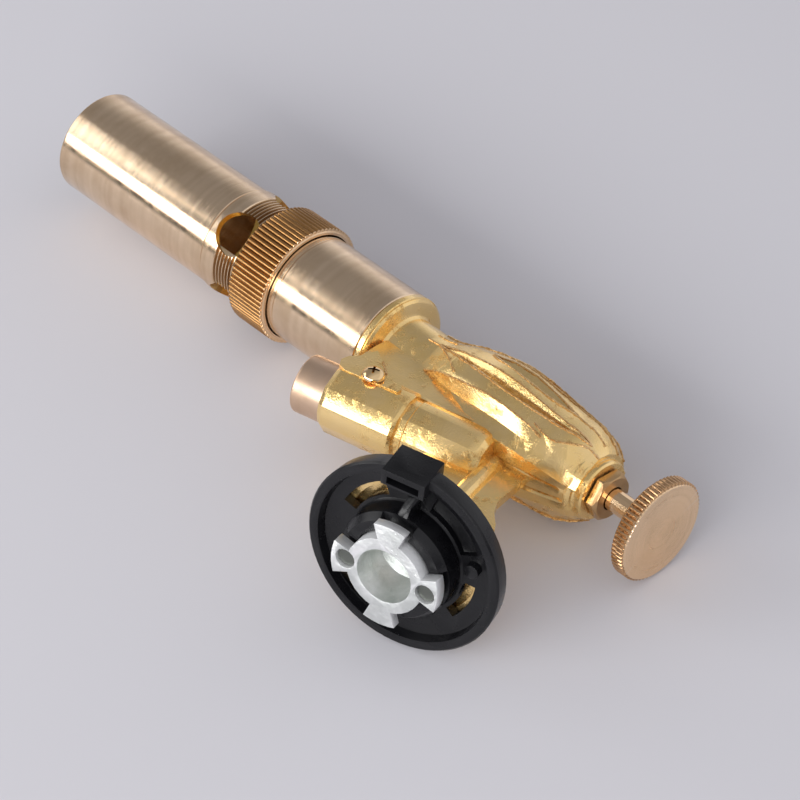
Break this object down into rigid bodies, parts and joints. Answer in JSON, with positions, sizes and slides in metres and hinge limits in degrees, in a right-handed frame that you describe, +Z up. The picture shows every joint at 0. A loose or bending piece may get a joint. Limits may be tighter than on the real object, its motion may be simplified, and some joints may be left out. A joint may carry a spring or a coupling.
{
  "type": "butane torch head",
  "caption": "Brass butane torch head for a bayonet gas cartridge, lying on its side, with flame tube, air ring, gas valve knob and piezo igniter button.",
  "frame": {"origin": "centre of the bounding box in plan, on the surface that the torch lies on", "axes": "+Z up from the surface it lies on, -X toward the muzzle, +X toward the valve knob, -Y toward the cartridge side"},
  "size_m": [0.1856, 0.0754, 0.0458],
  "materials": {
    "gold_casting": "bright gold plating over a die casting",
    "satin_brass": "satin turned brass",
    "bronze_brass": "dark knurled brass",
    "knob_brass": "turned brass with a knurled edge",
    "steel": "plain",
    "zinc": "matte die-cast zinc",
    "black_plastic": "moulded, half matte",
    "rubber": "matte",
    "ceramic": "glazed ceramic"
  },
  "bodies": {
    "body": {"bayonet_insert": "zinc", "bayonet_screw_front": "steel", "bayonet_screw_rear": "steel", "body_casting": "gold_casting", "collar_disc": "black_plastic", "electrode": "steel", "electrode_insulator": "ceramic", "flame_holder": "steel", "flame_tube": "satin_brass", "gland_nut": "bronze_brass", "gland_packing": "rubber", "housing_screw_lower": "gold_casting", "housing_screw_upper": "gold_casting", "inlet_filter": "steel", "inlet_nipple": "satin_brass", "inlet_seal": "rubber", "jet_nozzle": "satin_brass", "jet_tube": "satin_brass", "piezo_body": "black_plastic", "rear_barrel": "satin_brass", "valve_seat": "satin_brass"},
    "valve_seal": {"spindle_seal": "rubber"},
    "valve": {"spindle": "knob_brass", "knob": "knob_brass"},
    "ring_seal": {"air_ring_seal": "rubber"},
    "ring": {"air_ring": "bronze_brass"},
    "button": {"button_cap": "satin_brass", "piezo_plunger": "black_plastic"}
  },
  "joints": [
    {"name": "valve_lift", "type": "slide", "parent": "body", "child": "valve_seal", "axis": [0.9997, 0, -0.0243], "range_m": [0, 0.0014]},
    {"name": "valve_turn", "type": "hinge", "parent": "valve_seal", "child": "valve", "pos_m": [0.09083, 0.02277, 0.01243], "axis": [0.9997, 0, -0.0243], "range_deg": [0, 721]},
    {"name": "air_ring_travel", "type": "slide", "parent": "body", "child": "ring_seal", "axis": [-0.9997, 0, 0.0243], "range_m": [0, 0.01]},
    {"name": "air_ring_turn", "type": "hinge", "parent": "ring_seal", "child": "ring", "pos_m": [-0.02434, 0.02277, 0.01522], "axis": [-0.9997, 0, 0.0243], "range_deg": [0, 4005]},
    {"name": "button_press", "type": "slide", "parent": "body", "child": "button", "axis": [0.9669, 0.2442, -0.0739], "range_m": [0, 0.0055], "stiffness_N_per_m": 1200, "springref_m": -0.002}
  ],
  "couplings": [
    {"joint": "valve_turn", "follows": "valve_lift", "rad_per_m": 8976},
    {"joint": "air_ring_turn", "follows": "air_ring_travel", "rad_per_m": 6981.3}
  ]
}
